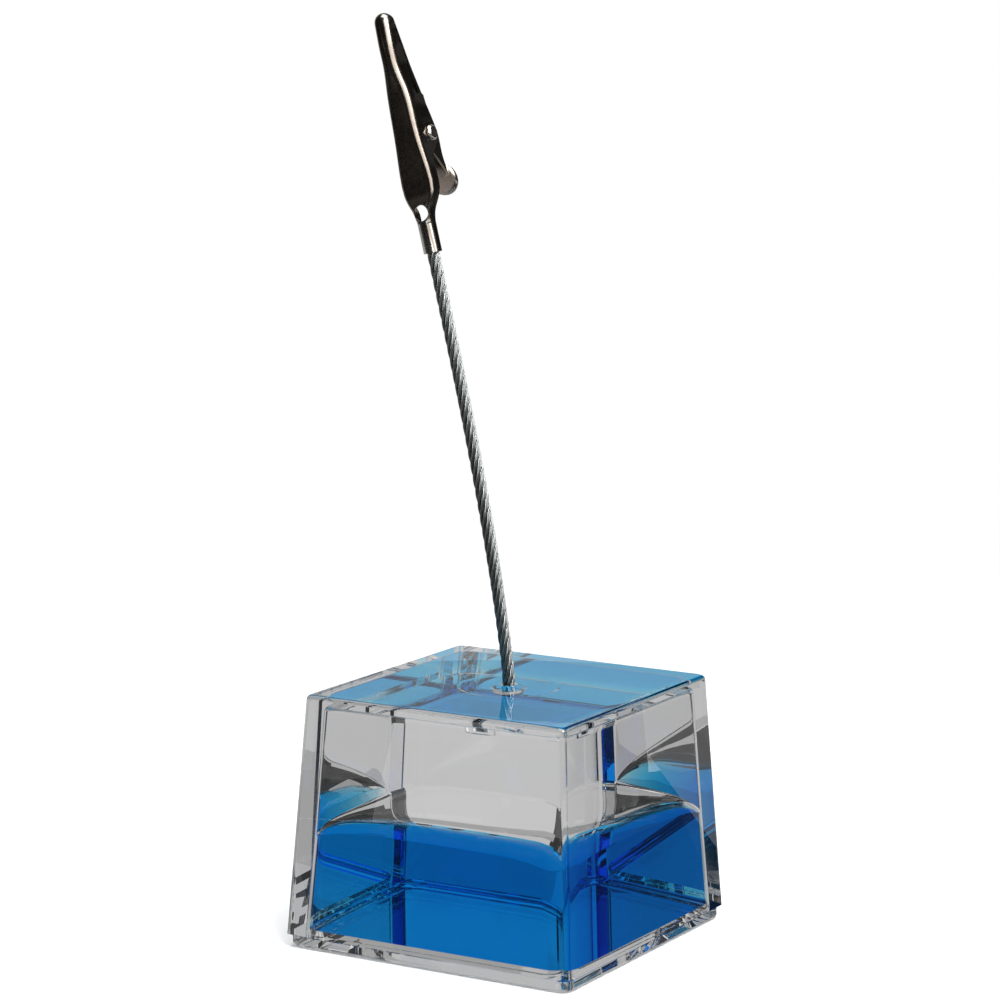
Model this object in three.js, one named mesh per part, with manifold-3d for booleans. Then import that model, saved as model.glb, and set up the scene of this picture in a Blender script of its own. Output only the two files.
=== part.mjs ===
// Desk memo holder, in millimetres with +Z up and the origin under the middle of its foot.
// A clear acrylic block holds blue dyed water under clear oil. A wire-rope stem leans out of its top
// and carries an alligator clip. The rivet of the clip lies along X when the stem stands upright.
import * as THREE from "three";
import { mergeVertices } from "three/addons/utils/BufferGeometryUtils.js";
import Module from "manifold-3d";

const wasm = await Module();
wasm.setup();

// Acrylic block
const TOP_SIDE = 50;
const FOOT_SIDE = 55.1;
const BASE_HEIGHT = 43.2;
const WALL = 2.4;
const TOP_WALL = 2.2;
const EDGE_RADIUS = 1;
const TOP_EDGE_RADIUS = 0.8;
const CAVITY_RADIUS = 3;
const CEILING_RADIUS = 1;

// Stem socket under the top of the block
const BOSS_DIAMETER = 5.6;
const BOSS_DROP = 5;
const SOCKET_DEPTH = 5.6;
const PAD_DIAMETER = 17.2;
const PAD_DROP = 0.5;

// Base plate and its stopper
const FLANGE_HEIGHT = 2;
const FLANGE_INSET = 0.4;
const FLANGE_RADIUS = 2;
const FLANGE_CHAMFER = 0.3;
const STEP_HEIGHT = 0.9;
const FILL_HOLE_DIAMETER = 5;
const FILL_HOLE_INSET = 12.55;
const PLUG_HEAD_DIAMETER = 8;
const PLUG_HEAD_HEIGHT = 0.8;
const PLUG_TAPER = 0.3;

// Filling: the water's surface swells in the middle and dips where it meets the walls
const LIQUID_LEVEL = 23.1;
const DIP = 2.4;
const DIP_REACH = 4;

// Clearances of the base
const BOND_GAP = 0.05;
const FIT_GAP = 0.15;
const LIQUID_GAP = 0.1;

// Wire rope: six strands laid round a core
const CABLE_DIAMETER = 2.2;
const STRAND_COUNT = 6;
const STRAND_GAP = 0.05;
const LAY_LENGTH = 13.5;
const STEM_LENGTH = 74.4;
const STEM_FOOT_LEAN = 7.2;
const STEM_TOP_LEAN = 14.2;
const STEM_FOOT_BEND = 3;
const SOCKET_CLEARANCE = 0.2;
const BARREL_CLEARANCE = 0.08;
const CABLE_END_GAP = 0.4;

// Clip: heights are measured along the clip from the foot of its barrel, offsets from the cable's axis
const CLIP_LENGTH = 41.2;
const SHEET = 0.4;
const BARREL_LENGTH = 5.3;
const BARREL_SEAM = 0.3;
const NECK_HOLE_HEIGHT = 6.85;
const NECK_HOLE_DIAMETER = 2.75;
const NECK_STRIP = 0.4;
const NECK_BEND_RADIUS = 0.9;
const NECK_WALL_OFFSET = 0.4;
const SHOULDER_HEIGHT = 10.3;
const SHOULDER_WIDTH = 6.3;
const SHOULDER_BACK_OFFSET = 0.9;
const TAIL_WALL_OFFSET = 1.4;
const PIVOT_HEIGHT = 19.95;
const PIVOT_OFFSET = 3.05;
const BODY_WIDTH = 5.3;
const BODY_BACK_OFFSET = 1.25;
const EAR_RADIUS = 2.1;
const EAR_LENGTH = 6.9;
const EAR_FRONT_OFFSET = 3.6;
const EAR_SWEEP = 5.4;
const THROAT_LENGTH = 5;
const THROAT_GAP = 0.9;
const NOSE_WIDTH = 3.2;
const NOSE_BULGE = 0.55;
const NOSE_ROUND = 1.6;
const NOSE_TAPER = 0.2;
const TAIL_BEND_RADIUS = 0.9;
const BODY_BEND_RADIUS = 1.3;
const NOSE_BEND_RADIUS = 1.5;
const MOUTH_TIP_OFFSET = -0.1;
const MOUTH_SLOPE = 0.24;
const MOUTH_GAP = 0.3;
const TOOTH_PITCH = 2.1;
const TOOTH_HEIGHT = 0.6;

// Lever of the clip
const EAR_CLEARANCE = 0.28;
const LEVER_NOSE_DEPTH = 1.05;
const LEVER_THROAT_DEPTH = 1.25;
const LEVER_PIVOT_DEPTH = 3.8;
const LEVER_EAR_RADIUS = 1.5;
const LEVER_BEND_RADIUS = 0.8;
const ARM_RISE = 0.1;
const THUMB_LENGTH = 7.85;
const THUMB_RISE = 4.8;
const THUMB_TILT = 15;
const THUMB_RADIUS = 2.9;
const THUMB_RIM = 0.9;
const THUMB_RIM_HEIGHT = 0.75;
const THUMB_SEAT = 0.05;

// Rivet and torsion spring
const RIVET_DIAMETER = 1.5;
const RIVET_CLEARANCE = 0.1;
const RIVET_HEAD_DIAMETER = 2.8;
const RIVET_HEAD_HEIGHT = 0.6;
const RIVET_DIMPLE = 0.25;
const SPRING_WIRE = 0.44;
const SPRING_RADIUS = 1.25;
const SPRING_PITCH = 0.9;
const SPRING_TURNS = 2;
const SPRING_SEAT_GAP = 0.2;

// Fineness of the facets
const CORNER_STEPS = 4;
const SIDE_SHARES = [0.08, 0.2, 0.35, 0.5, 0.65, 0.8, 0.92];
const SURFACE_SHARES = [0.04, 0.1, 0.2, 0.4, 0.7];
const EDGE_STEPS = 3;
const ROUND_STEPS = 24;
const STRAND_SIDES = 6;
const STRAND_STEPS_PER_LAY = 8;
const STEPS_PER_STATION = 5;
const BEND_STEPS = 5;
const NOSE_STEPS = 5;
const WIRE_SIDES = 5;
const SPRING_STEP = 0.98;
const SPRING_SAMPLES = 240;
const WELD = 1e-4;
const CUT_MARGIN = 1;
const NEARLY_ROUND = 0.95;
const NOSE_SWEEP = 80;

const { degToRad, smoothstep, clamp, lerp } = THREE.MathUtils;

// Finishes
function finish(color, roughness, metalness, opacity = 1) {
  return new THREE.MeshStandardMaterial({ color, roughness, metalness, opacity, transparent: opacity < 1 });
}
const CLEAR_ACRYLIC = { color: 0xe9f1f4, roughness: 0.05, metalness: 0, opacity: 0.3 };
const DYED_WATER = { color: 0x0a6fc2, roughness: 0.03, metalness: 0, opacity: 0.75 };
const OIL = { color: 0xf2f4f2, roughness: 0.03, metalness: 0, opacity: 0.25 };
const STOPPER = { color: 0xdfe5e8, roughness: 0.4, metalness: 0, opacity: 1 };
const GALVANISED = { color: 0x8c8f8e, roughness: 0.42, metalness: 1, opacity: 1 };
const BLACK_NICKEL = { color: 0x2b2622, roughness: 0.2, metalness: 1, opacity: 1 };
const RIVET_METAL = { color: 0x84786c, roughness: 0.25, metalness: 1, opacity: 1 };
const SPRING_STEEL = { color: 0x6f7072, roughness: 0.35, metalness: 1, opacity: 1 };

// Closed solids from meshes, and meshes from solids
function toSolid(geometry) {
  const loose = geometry.index ? geometry.toNonIndexed() : geometry.clone();
  loose.deleteAttribute("normal");
  loose.deleteAttribute("uv");
  const merged = mergeVertices(loose, WELD);
  return new wasm.Manifold(
    new wasm.Mesh({
      numProp: 3,
      vertProperties: merged.attributes.position.array,
      triVerts: new Uint32Array(merged.index.array),
    }),
  );
}

function toGeometry(solid) {
  const { vertProperties, triVerts } = solid.getMesh();
  const geometry = new THREE.BufferGeometry();
  geometry.setAttribute("position", new THREE.BufferAttribute(Float32Array.from(vertProperties), 3));
  geometry.setIndex(new THREE.BufferAttribute(Uint32Array.from(triVerts), 1));
  geometry.computeVertexNormals();
  return geometry;
}

function piece(name, geometry, look) {
  const mesh = new THREE.Mesh(geometry, finish(look.color, look.roughness, look.metalness, look.opacity));
  mesh.name = name;
  return mesh;
}

// A closed skin over rings of points, each counter-clockwise seen from the last ring
function loft(rings) {
  const sides = rings[0].length;
  const index = [];
  for (let ring = 0; ring + 1 < rings.length; ring++) {
    for (let i = 0; i < sides; i++) {
      const a = ring * sides + i;
      const b = ring * sides + ((i + 1) % sides);
      index.push(a, b, b + sides, a, b + sides, a + sides);
    }
  }
  const last = (rings.length - 1) * sides;
  for (let i = 1; i + 1 < sides; i++) {
    index.push(0, i + 1, i);
    index.push(last, last + i, last + i + 1);
  }
  const geometry = new THREE.BufferGeometry().setFromPoints(rings.flat());
  geometry.setIndex(index);
  geometry.computeVertexNormals();
  return geometry;
}

// A turned solid round Z, from a profile of [radius, height] that runs from the axis to the axis
function turned(profile) {
  const points = profile.map(([radius, height]) => new THREE.Vector2(radius, height));
  return new THREE.LatheGeometry(points, ROUND_STEPS).rotateX(Math.PI / 2);
}

function rod(radius, bottom, top) {
  return turned([[0, bottom], [radius, bottom], [radius, top], [0, top]]);
}

// Block, plate, stopper and filling

function halfSide(z) {
  const share = (z - FLANGE_HEIGHT) / (BASE_HEIGHT - FLANGE_HEIGHT);
  return lerp(FOOT_SIDE, TOP_SIDE, share) / 2;
}

function roundedSquare(half, radius, z) {
  const ring = [];
  for (let corner = 0; corner < 4; corner++) {
    const middle = degToRad(45 + 90 * corner);
    const centreX = Math.sign(Math.cos(middle)) * (half - radius);
    const centreY = Math.sign(Math.sin(middle)) * (half - radius);
    for (let step = 0; step <= CORNER_STEPS; step++) {
      const angle = degToRad(90 * (corner + step / CORNER_STEPS));
      ring.push(
        new THREE.Vector3(centreX + radius * Math.cos(angle), centreY + radius * Math.sin(angle), z),
      );
    }
  }
  return ring;
}

// A drafted block that keeps inset from the outer walls, with a rounded edge round its top
function draftedBlock(bottom, top, inset, radius, topRadius) {
  const rings = [roundedSquare(halfSide(bottom) - inset, radius, bottom)];
  for (let step = 0; step <= EDGE_STEPS; step++) {
    const angle = degToRad((90 * step) / EDGE_STEPS);
    const z = top - topRadius + topRadius * Math.sin(angle);
    const drawnIn = inset + topRadius * (1 - Math.cos(angle));
    rings.push(roundedSquare(halfSide(z) - drawnIn, radius, z));
  }
  return loft(rings);
}

const CEILING = BASE_HEIGHT - TOP_WALL;
const FLOOR = FLANGE_HEIGHT + STEP_HEIGHT;
const SOCKET_RADIUS = CABLE_DIAMETER / 2 + SOCKET_CLEARANCE;
const FILL_HOLE_OFFSET = FOOT_SIDE / 2 - FILL_HOLE_INSET;

function bodyShell() {
  const outside = toSolid(
    draftedBlock(FLANGE_HEIGHT + BOND_GAP, BASE_HEIGHT, 0, EDGE_RADIUS, TOP_EDGE_RADIUS),
  );
  const cavity = toSolid(
    draftedBlock(FLANGE_HEIGHT - CUT_MARGIN, CEILING, WALL, CAVITY_RADIUS, CEILING_RADIUS),
  );
  const inTopWall = CEILING + TOP_WALL / 2;
  const pad = toSolid(rod(PAD_DIAMETER / 2, CEILING - PAD_DROP, inTopWall));
  const boss = toSolid(rod(BOSS_DIAMETER / 2, CEILING - BOSS_DROP, inTopWall));
  const socket = toSolid(rod(SOCKET_RADIUS, BASE_HEIGHT - SOCKET_DEPTH, BASE_HEIGHT + CUT_MARGIN));
  const shell = outside.subtract(cavity).add(pad).add(boss).subtract(socket);
  return piece("body_shell", toGeometry(shell), CLEAR_ACRYLIC);
}

function basePlate() {
  const half = halfSide(FLANGE_HEIGHT) - FLANGE_INSET;
  const flange = toSolid(
    loft([
      roundedSquare(half - FLANGE_CHAMFER, FLANGE_RADIUS, 0),
      roundedSquare(half, FLANGE_RADIUS, FLANGE_CHAMFER),
      roundedSquare(half, FLANGE_RADIUS, FLANGE_HEIGHT),
    ]),
  );
  const inFlange = FLANGE_HEIGHT / 2;
  const stepRadius = CAVITY_RADIUS - FIT_GAP;
  const step = toSolid(
    loft([inFlange, FLOOR].map((z) => roundedSquare(halfSide(z) - WALL - FIT_GAP, stepRadius, z))),
  );
  const hole = toSolid(rod(FILL_HOLE_DIAMETER / 2, -CUT_MARGIN, FLOOR + CUT_MARGIN));
  const recess = toSolid(rod(PLUG_HEAD_DIAMETER / 2 + FIT_GAP, -CUT_MARGIN, PLUG_HEAD_HEIGHT + FIT_GAP));
  const opening = hole.add(recess).translate([-FILL_HOLE_OFFSET, FILL_HOLE_OFFSET, 0]);
  return piece("base_plate", toGeometry(flange.add(step).subtract(opening)), CLEAR_ACRYLIC);
}

// The stopper's head lies flush in the recess and its tapered stem fills the hole
function fillPlug() {
  const head = PLUG_HEAD_DIAMETER / 2;
  const stem = FILL_HOLE_DIAMETER / 2 - FIT_GAP;
  const plug = turned([
    [0, 0],
    [head, 0],
    [head, PLUG_HEAD_HEIGHT],
    [stem, PLUG_HEAD_HEIGHT],
    [stem, FLOOR - PLUG_TAPER],
    [stem - PLUG_TAPER, FLOOR],
    [0, FLOOR],
  ]);
  const mesh = piece("fill_plug", plug, STOPPER);
  mesh.position.set(-FILL_HOLE_OFFSET, FILL_HOLE_OFFSET, 0);
  return mesh;
}

// Height of the water's surface: each of the four walls draws it down nearby
function waterLevel(x, y) {
  const wall = halfSide(LIQUID_LEVEL) - WALL;
  const gaps = [wall - x, wall + x, wall - y, wall + y];
  const nearness = gaps.reduce((sum, gap) => sum + Math.exp(-Math.max(gap, 0) / DIP_REACH), 0);
  return LIQUID_LEVEL - DIP * nearness;
}

// A ring of the filling, inset from the cavity's walls, with points along its sides as well
function fillingRing(inset, z) {
  const radius = Math.max(CAVITY_RADIUS - inset, LIQUID_GAP);
  const ring = roundedSquare(halfSide(z) - WALL - inset, radius, z);
  const corners = CORNER_STEPS + 1;
  return ring.flatMap((point, i) => {
    if (i % corners !== CORNER_STEPS) {
      return [point];
    }
    const next = ring[(i + 1) % ring.length];
    return [point, ...SIDE_SHARES.map((share) => point.clone().lerp(next, share))];
  });
}

// Everything below the water's surface, drawn in from the walls by inset and shifted up by lift.
// The surface always has the same rings, so that it keeps an even gap to the oil.
function waterBody(bottom, inset, lift) {
  const rings = [fillingRing(inset, bottom)];
  const reach = halfSide(LIQUID_LEVEL) - WALL;
  const insets = SURFACE_SHARES.map((share) => share * reach);
  for (const drawnIn of new Set([inset, LIQUID_GAP, ...insets])) {
    const ring = fillingRing(drawnIn, LIQUID_LEVEL);
    rings.push(ring.map(({ x, y }) => new THREE.Vector3(x, y, waterLevel(x, y) + lift)));
  }
  return loft(rings);
}

function blueLiquid() {
  return piece("blue_liquid", waterBody(FLOOR + LIQUID_GAP, LIQUID_GAP, -LIQUID_GAP / 2), DYED_WATER);
}

function clearOil() {
  const lowest = waterLevel(halfSide(LIQUID_LEVEL), halfSide(LIQUID_LEVEL)) - CUT_MARGIN;
  const top = CEILING - LIQUID_GAP;
  const radius = CAVITY_RADIUS - LIQUID_GAP;
  const filling = toSolid(draftedBlock(lowest, top, WALL + LIQUID_GAP, radius, CEILING_RADIUS));
  const water = toSolid(waterBody(lowest - CUT_MARGIN, -CUT_MARGIN, LIQUID_GAP / 2));
  const roundPad = toSolid(
    rod(PAD_DIAMETER / 2 + LIQUID_GAP, CEILING - PAD_DROP - LIQUID_GAP, CEILING + CUT_MARGIN),
  );
  const roundBoss = toSolid(
    rod(BOSS_DIAMETER / 2 + LIQUID_GAP, CEILING - BOSS_DROP - LIQUID_GAP, CEILING + CUT_MARGIN),
  );
  const oil = filling.subtract(water).subtract(roundPad).subtract(roundBoss);
  return piece("clear_oil", toGeometry(oil), OIL);
}

// Wire rope. It stands upright in its socket, leans out at the foot and bends on under the clip's weight.

function leanAt(along) {
  const settled = smoothstep(along, 0, STEM_FOOT_BEND);
  const share = clamp(along / STEM_LENGTH, 0, 1);
  const bent = (STEM_TOP_LEAN - STEM_FOOT_LEAN) * share * (2 - share);
  return degToRad(STEM_FOOT_LEAN * settled + bent);
}

// Places along the rope's axis, with the direction across it in the plane of the lean
function ropeStations(from, to, steps) {
  const stride = (to - from) / steps;
  const centre = new THREE.Vector3(0, 0, BASE_HEIGHT + from);
  const stations = [];
  for (let step = 0; step <= steps; step++) {
    const along = from + step * stride;
    const lean = leanAt(along);
    const across = new THREE.Vector3(Math.cos(lean), 0, Math.sin(lean));
    stations.push({ along, centre: centre.clone(), across });
    const next = leanAt(along + stride / 2);
    centre.add(new THREE.Vector3(-Math.sin(next), 0, Math.cos(next)).multiplyScalar(stride));
  }
  return stations;
}

const ROPE_START = SOCKET_CLEARANCE - SOCKET_DEPTH;
const ROPE_END = STEM_LENGTH + BARREL_LENGTH - CABLE_END_GAP;
const ROPE_STEPS = Math.ceil(((ROPE_END - ROPE_START) / LAY_LENGTH) * STRAND_STEPS_PER_LAY);
const STRAND_ORBIT = CABLE_DIAMETER / 3;
const STRAND_RADIUS = CABLE_DIAMETER / 6 - STRAND_GAP / 2;

// One strand: its section turns with the whole rope's section, so that strands never cross
function strand(name, orbit, startAngle) {
  const side = new THREE.Vector3(0, 1, 0);
  const rings = ropeStations(ROPE_START, ROPE_END, ROPE_STEPS).map(({ along, centre, across }) => {
    const twist = startAngle + (2 * Math.PI * along) / LAY_LENGTH;
    const ring = [];
    for (let i = 0; i < STRAND_SIDES; i++) {
      const angle = twist + (2 * Math.PI * i) / STRAND_SIDES;
      const u = orbit * Math.cos(twist) + STRAND_RADIUS * Math.cos(angle);
      const v = orbit * Math.sin(twist) + STRAND_RADIUS * Math.sin(angle);
      ring.push(centre.clone().addScaledVector(across, u).addScaledVector(side, v));
    }
    return ring;
  });
  return piece(name, loft(rings), GALVANISED);
}

function wireRope() {
  const strands = [strand("cable_core", 0, 0)];
  for (let i = 0; i < STRAND_COUNT; i++) {
    strands.push(strand(`cable_strand_${i + 1}`, STRAND_ORBIT, (2 * Math.PI * i) / STRAND_COUNT));
  }
  return strands;
}

// Clip, drawn with the cable's axis as Z, the rivet along X and the lever on the +Y side

const BARREL_BORE = CABLE_DIAMETER / 2 + BARREL_CLEARANCE;
const BARREL_RADIUS = BARREL_BORE + SHEET;
const EAR_FRONT = PIVOT_HEIGHT + EAR_LENGTH;
const THROAT_FRONT = EAR_FRONT + THROAT_LENGTH;
const NOSE_START = CLIP_LENGTH - NOSE_ROUND;
const TOOTH_COUNT = Math.max(0, Math.floor((NOSE_START + TOOTH_PITCH / 2 - THROAT_FRONT) / TOOTH_PITCH));
const NOSE_MIDDLE = (THROAT_FRONT + NOSE_START) / 2;
const NOSE_BACK_OFFSET = BODY_BACK_OFFSET + NOSE_BULGE;

function mouthOffset(height) {
  return MOUTH_TIP_OFFSET + MOUTH_SLOPE * (CLIP_LENGTH - height);
}

// A bent-up sheet section: half its width, its back, and the side (+1 or -1 along Y) that it opens to
function channelRing(half, back, radius, opens, height) {
  const reach = 2 * BODY_WIDTH;
  const bend = Math.min(radius, NEARLY_ROUND * half);
  const outline = [[half, reach], [-half, reach]];
  for (const corner of [-1, 1]) {
    for (let step = 0; step <= BEND_STEPS; step++) {
      const angle = degToRad((corner < 0 ? 180 : 270) + (90 * step) / BEND_STEPS);
      outline.push([corner * (half - bend) + bend * Math.cos(angle), bend + bend * Math.sin(angle)]);
    }
  }
  const ring = outline.map(([x, depth]) => new THREE.Vector3(x, back + opens * depth, height));
  return opens > 0 ? ring : ring.reverse();
}

// A block with the form of the channel's outer face, or of its inside when inset is the sheet.
// Stations give [height, half width, back offset, bend radius] from tail to nose.
function channelBlock(stations, opens, inset, mouthTip) {
  const line = new THREE.CatmullRomCurve3(
    stations.map(([height, half, back]) => new THREE.Vector3(half, back, height)),
  );
  const bends = new THREE.SplineCurve(stations.map(([height, , , bend]) => new THREE.Vector2(height, bend)));
  const rings = [];
  const steps = STEPS_PER_STATION * (stations.length - 1);
  for (let step = 0; step <= steps; step++) {
    const share = step / steps;
    const { x: half, y: back, z: height } = line.getPoint(share);
    const radius = bends.getPoint(share).y - inset;
    const through = step === 0 && inset > 0 ? CUT_MARGIN : 0;
    rings.push(channelRing(half - inset, back + opens * inset, radius, opens, height - through));
  }
  const [noseHeight, noseHalf, noseBack, noseBend] = stations.at(-1);
  for (let step = 1; step <= NOSE_STEPS; step++) {
    const angle = degToRad((NOSE_SWEEP * step) / NOSE_STEPS);
    const half = (noseHalf - inset) * Math.cos(angle);
    const back = lerp(noseBack, mouthTip, 1 - Math.cos(angle)) + opens * inset;
    const height = noseHeight + (NOSE_ROUND - inset) * Math.sin(angle);
    rings.push(channelRing(half, back, noseBend - inset, opens, height));
  }
  return toSolid(loft(rings));
}

function bentChannel(stations, opens, mouthTip) {
  const outer = channelBlock(stations, opens, 0, mouthTip);
  return outer.subtract(channelBlock(stations, opens, SHEET, mouthTip));
}

// A side outline, drawn with offsets to the right and heights upwards, cut through the whole clip
function sideCut(outline) {
  const width = 2 * Math.max(SHOULDER_WIDTH, 2 * THUMB_RADIUS);
  const block = new THREE.ExtrudeGeometry(outline, {
    depth: width,
    bevelEnabled: false,
    curveSegments: ROUND_STEPS / 2,
  });
  block.translate(0, 0, -width / 2);
  const offsetAxis = new THREE.Vector3(0, 1, 0);
  const heightAxis = new THREE.Vector3(0, 0, 1);
  const rivetAxis = new THREE.Vector3(1, 0, 0);
  return toSolid(block.applyMatrix4(new THREE.Matrix4().makeBasis(offsetAxis, heightAxis, rivetAxis)));
}

// The zigzag of the teeth from throat to tip, shared by both jaws
function toothLine(shift) {
  const points = [];
  for (let half = 0; half <= 2 * TOOTH_COUNT; half++) {
    const height = THROAT_FRONT + (half * TOOTH_PITCH) / 2;
    const crest = half % 2 === 1 ? TOOTH_HEIGHT / 2 : -TOOTH_HEIGHT / 2;
    points.push([mouthOffset(height) + crest + shift, height]);
  }
  const beyondTip = CLIP_LENGTH + CUT_MARGIN;
  points.push([mouthOffset(beyondTip) - TOOTH_HEIGHT / 2 + shift, beyondTip]);
  return points;
}

function rivetHole() {
  const radius = RIVET_DIAMETER / 2 + RIVET_CLEARANCE;
  const drill = rod(radius, -SHOULDER_WIDTH, SHOULDER_WIDTH).rotateY(Math.PI / 2);
  return toSolid(drill.translate(0, PIVOT_OFFSET, PIVOT_HEIGHT));
}

function rolledBarrel() {
  const half = Math.asin(BARREL_SEAM / 2 / BARREL_BORE);
  const seam = Math.PI / 2;
  const outline = new THREE.Shape();
  outline.absarc(0, 0, BARREL_RADIUS, seam + half, seam - half + 2 * Math.PI, false);
  outline.absarc(0, 0, BARREL_BORE, seam - half + 2 * Math.PI, seam + half, true);
  return toSolid(
    new THREE.ExtrudeGeometry(outline, {
      depth: BARREL_LENGTH,
      bevelEnabled: false,
      curveSegments: ROUND_STEPS,
    }),
  );
}

// Half widths and backs at the places between the named ones
const NECK_HALF = NECK_HOLE_DIAMETER / 2 + NECK_STRIP;
const NECK_BACK = -lerp(BARREL_RADIUS, SHOULDER_BACK_OFFSET, 0.4);
const EAR_HALF = lerp(BODY_WIDTH, NOSE_WIDTH, 0.25) / 2;
const THROAT_HALF = lerp(NOSE_WIDTH, BODY_WIDTH, 0.05) / 2;
const THROAT_BACK = -lerp(NOSE_BACK_OFFSET, BODY_BACK_OFFSET, 0.2);

const FIXED_STATIONS = [
  [BARREL_LENGTH - SHEET, BARREL_RADIUS, -BARREL_RADIUS, BARREL_RADIUS],
  [NECK_HOLE_HEIGHT, NECK_HALF, NECK_BACK, NECK_BEND_RADIUS],
  [SHOULDER_HEIGHT, SHOULDER_WIDTH / 2, -SHOULDER_BACK_OFFSET, TAIL_BEND_RADIUS],
  [PIVOT_HEIGHT, BODY_WIDTH / 2, -BODY_BACK_OFFSET, BODY_BEND_RADIUS],
  [EAR_FRONT, EAR_HALF, -BODY_BACK_OFFSET, NOSE_BEND_RADIUS],
  [THROAT_FRONT, THROAT_HALF, THROAT_BACK, NOSE_BEND_RADIUS],
  [NOSE_MIDDLE, NOSE_WIDTH / 2, -NOSE_BACK_OFFSET, NOSE_BEND_RADIUS],
  [NOSE_START, NOSE_WIDTH / 2, NOSE_TAPER - NOSE_BACK_OFFSET, NOSE_BEND_RADIUS],
];

function fixedSide() {
  const deep = -2 * BODY_WIDTH;
  const outline = new THREE.Shape();
  outline.moveTo(deep, 0);
  outline.lineTo(NECK_WALL_OFFSET, 0);
  outline.lineTo(NECK_WALL_OFFSET, BARREL_LENGTH);
  outline.lineTo(TAIL_WALL_OFFSET, SHOULDER_HEIGHT + SHEET);
  const sweepFoot = PIVOT_HEIGHT - EAR_SWEEP;
  const earStart = degToRad(-50);
  const earEnd = degToRad(70);
  outline.lineTo(TAIL_WALL_OFFSET, sweepFoot);
  outline.quadraticCurveTo(
    TAIL_WALL_OFFSET,
    lerp(sweepFoot, PIVOT_HEIGHT, 1 / 3),
    PIVOT_OFFSET + EAR_RADIUS * Math.cos(earStart),
    PIVOT_HEIGHT + EAR_RADIUS * Math.sin(earStart),
  );
  outline.absarc(PIVOT_OFFSET, PIVOT_HEIGHT, EAR_RADIUS, earStart, earEnd, false);
  outline.lineTo(EAR_FRONT_OFFSET, EAR_FRONT - SHEET);
  outline.lineTo(EAR_FRONT_OFFSET - SHEET, EAR_FRONT);
  outline.lineTo(mouthOffset(EAR_FRONT) - 2 * THROAT_GAP, EAR_FRONT);
  for (const [offset, height] of toothLine(0)) {
    outline.lineTo(offset, height);
  }
  outline.lineTo(deep, CLIP_LENGTH + CUT_MARGIN);
  outline.closePath();
  return sideCut(outline);
}

function fixedJaw() {
  const channel = bentChannel(FIXED_STATIONS, 1, MOUTH_TIP_OFFSET);
  const drill = rod(NECK_HOLE_DIAMETER / 2, 0, BODY_WIDTH).rotateX(Math.PI / 2);
  const neckHole = toSolid(drill.translate(0, 0, NECK_HOLE_HEIGHT));
  const jaw = channel.intersect(fixedSide()).add(rolledBarrel()).subtract(neckHole).subtract(rivetHole());
  return piece("fixed_jaw", toGeometry(jaw), BLACK_NICKEL);
}

// Lever: below the pivot its arm bends outwards to the thumb pad
const LEVER_HALF = BODY_WIDTH / 2 - SHEET - EAR_CLEARANCE;
const LEVER_PIVOT_BACK = PIVOT_OFFSET + LEVER_PIVOT_DEPTH;
const THUMB_HEIGHT = PIVOT_HEIGHT - THUMB_LENGTH;
const THUMB_BACK = PIVOT_OFFSET + THUMB_RISE;
const ARM_LENGTH = THUMB_LENGTH / 2;
const LEVER_THROAT_BACK = mouthOffset(THROAT_FRONT) + LEVER_THROAT_DEPTH;
const LEVER_NOSE_BACK = mouthOffset(NOSE_START) + LEVER_NOSE_DEPTH;
const EAR_SHARE = EAR_LENGTH / (EAR_LENGTH + THROAT_LENGTH);

const LEVER_STATIONS = [
  [THUMB_HEIGHT, LEVER_HALF, THUMB_BACK, LEVER_BEND_RADIUS],
  [PIVOT_HEIGHT - ARM_LENGTH, LEVER_HALF, LEVER_PIVOT_BACK + ARM_RISE, LEVER_BEND_RADIUS],
  [PIVOT_HEIGHT, LEVER_HALF, LEVER_PIVOT_BACK, LEVER_BEND_RADIUS],
  [
    EAR_FRONT,
    lerp(LEVER_HALF, NOSE_WIDTH / 2, EAR_SHARE),
    lerp(LEVER_PIVOT_BACK, LEVER_THROAT_BACK, EAR_SHARE),
    LEVER_BEND_RADIUS,
  ],
  [THROAT_FRONT, NOSE_WIDTH / 2, LEVER_THROAT_BACK, LEVER_BEND_RADIUS],
  [NOSE_MIDDLE, NOSE_WIDTH / 2, (LEVER_THROAT_BACK + LEVER_NOSE_BACK) / 2, LEVER_BEND_RADIUS],
  [NOSE_START, NOSE_WIDTH / 2, LEVER_NOSE_BACK, LEVER_BEND_RADIUS],
];

function leverSide() {
  const far = 2 * BODY_WIDTH + THUMB_BACK;
  const outline = new THREE.Shape();
  outline.moveTo(far, CLIP_LENGTH + CUT_MARGIN);
  for (const [offset, height] of toothLine(MOUTH_GAP).reverse()) {
    outline.lineTo(offset, height);
  }
  outline.lineTo(mouthOffset(EAR_FRONT), EAR_FRONT);
  const earStart = degToRad(140);
  const earEnd = degToRad(245);
  outline.absarc(PIVOT_OFFSET, PIVOT_HEIGHT, LEVER_EAR_RADIUS, earStart, earEnd, false);
  outline.lineTo(THUMB_BACK - SHEET, THUMB_HEIGHT + SHEET / 2);
  outline.lineTo(THUMB_BACK - SHEET, THUMB_HEIGHT - CUT_MARGIN);
  outline.lineTo(far, THUMB_HEIGHT - CUT_MARGIN);
  outline.closePath();
  return sideCut(outline);
}

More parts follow.
